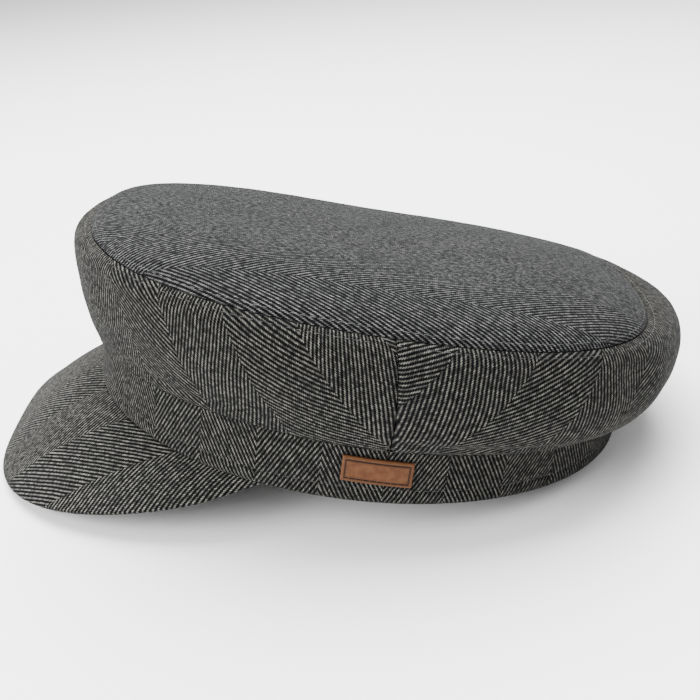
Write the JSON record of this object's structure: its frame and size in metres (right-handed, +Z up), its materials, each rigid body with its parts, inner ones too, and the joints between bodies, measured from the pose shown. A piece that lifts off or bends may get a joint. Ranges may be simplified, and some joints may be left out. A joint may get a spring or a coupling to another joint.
{
  "type": "breton cap",
  "caption": "Soft wool cap with a domed oval top, a rolled crown side that hangs over an upright band, a sloping cloth peak and a blank leather label.",
  "frame": {"origin": "middle of the cap's box, on the surface that the cap rests on", "axes": "+Z up, -Y towards the peak, +X towards the wearer's left, which carries the label"},
  "size_m": [0.1976, 0.2728, 0.1026],
  "materials": {
    "crown_wool": "herringbone wool twill, dark and pale grey yarns",
    "band_wool": "herringbone wool twill, dark and pale grey yarns",
    "peak_wool": "herringbone wool twill over a firm board",
    "label_leather": "tan leather with a burnt frame"
  },
  "bodies": {
    "root": {"crown_top": "crown_wool", "crown_side_back": "crown_wool", "crown_side_front": "crown_wool", "band": "band_wool", "peak": "peak_wool", "side_label": "label_leather"}
  },
  "joints": []
}
